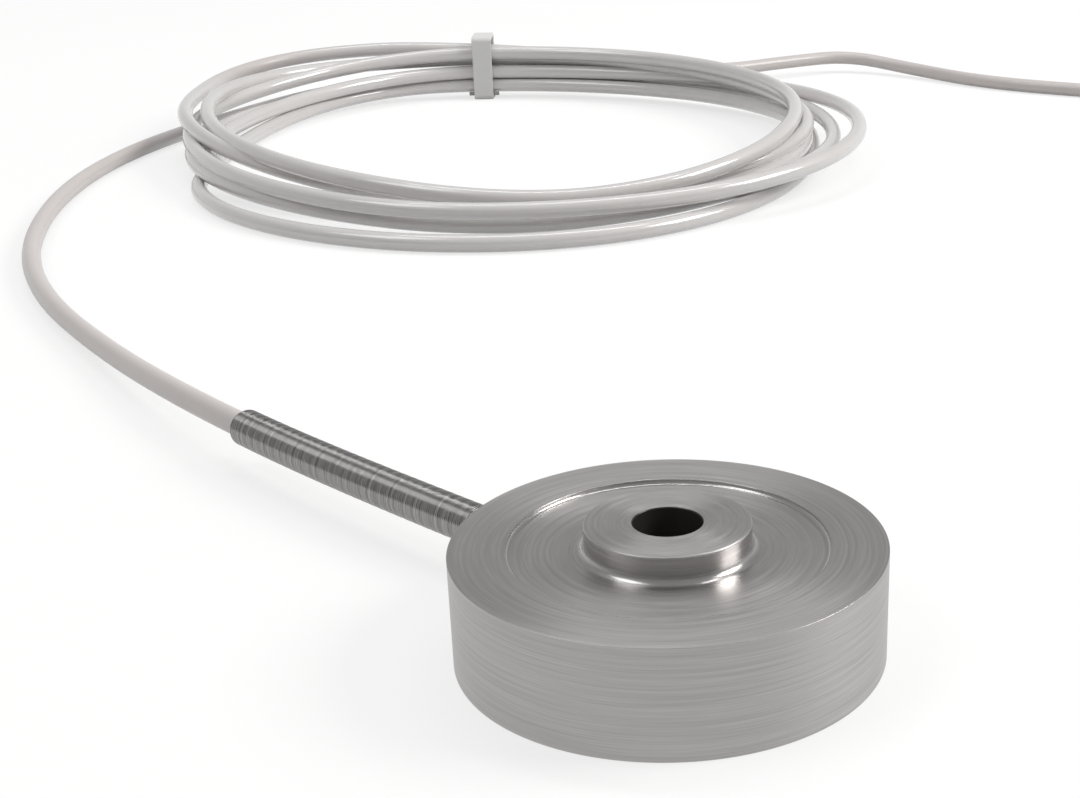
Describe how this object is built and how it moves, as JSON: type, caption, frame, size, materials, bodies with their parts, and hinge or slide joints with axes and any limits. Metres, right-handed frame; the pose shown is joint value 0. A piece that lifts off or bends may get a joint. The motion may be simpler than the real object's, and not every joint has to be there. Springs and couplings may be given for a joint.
{
  "type": "compression load cell",
  "caption": "Compression load cell: a turned steel disc with a raised, bored load button, a fixed grey cable in a bend relief spring, and a tied coil of spare cable.",
  "frame": {"origin": "centre of the disc's underside, on the axis of its bore", "axes": "+Z along the bore axis, up out of the load button; the cable leaves the disc towards -X +Y"},
  "size_m": [0.2662, 0.3192, 0.0144],
  "materials": {
    "turned_steel": "satin",
    "cover_steel": "satin",
    "seal": "matte",
    "board": "gloss",
    "crimp": "satin",
    "gauge_film": "gloss",
    "gauge_foil": "satin",
    "tinned_wire": "satin",
    "resistor_ceramic": "satin",
    "solder": "satin",
    "core_red": "satin",
    "core_black": "satin",
    "core_green": "satin",
    "core_white": "satin",
    "cable_jacket": "satin",
    "spring_wire": "polished",
    "tie_nylon": "matte",
    "shrink_sleeve": "matte"
  },
  "bodies": {
    "root": {"sensor_body": "turned_steel", "base_cover": "cover_steel", "seal_ring": "seal", "circuit_board": "board", "crimp_sleeve": "crimp", "gauge_carrier_1": "gauge_film", "gauge_carrier_2": "gauge_film", "gauge_carrier_3": "gauge_film", "gauge_carrier_4": "gauge_film", "gauge_grid_1": "gauge_foil", "gauge_grid_2": "gauge_foil", "gauge_grid_3": "gauge_foil", "gauge_grid_4": "gauge_foil", "gauge_wire_1": "tinned_wire", "gauge_wire_2": "tinned_wire", "gauge_wire_3": "tinned_wire", "gauge_wire_4": "tinned_wire", "gauge_wire_5": "tinned_wire", "gauge_wire_6": "tinned_wire", "gauge_wire_7": "tinned_wire", "gauge_wire_8": "tinned_wire", "trim_resistor_1": "resistor_ceramic", "trim_resistor_2": "resistor_ceramic", "trim_resistor_3": "resistor_ceramic", "trim_resistor_4": "resistor_ceramic", "solder_joint_1": "solder", "solder_joint_2": "solder", "solder_joint_3": "solder", "solder_joint_4": "solder", "core_wire_red": "core_red", "core_wire_black": "core_black", "core_wire_green": "core_green", "core_wire_white": "core_white", "cable_lead": "cable_jacket", "relief_spring": "spring_wire", "cable_coil": "cable_jacket", "coil_tie": "tie_nylon", "tie_lock_pin": "tie_nylon", "cable_tail": "cable_jacket", "end_sleeve": "shrink_sleeve", "end_lead_red": "core_red", "end_lead_black": "core_black", "end_lead_green": "core_green", "end_lead_white": "core_white", "screen_lead": "tinned_wire"}
  },
  "joints": []
}
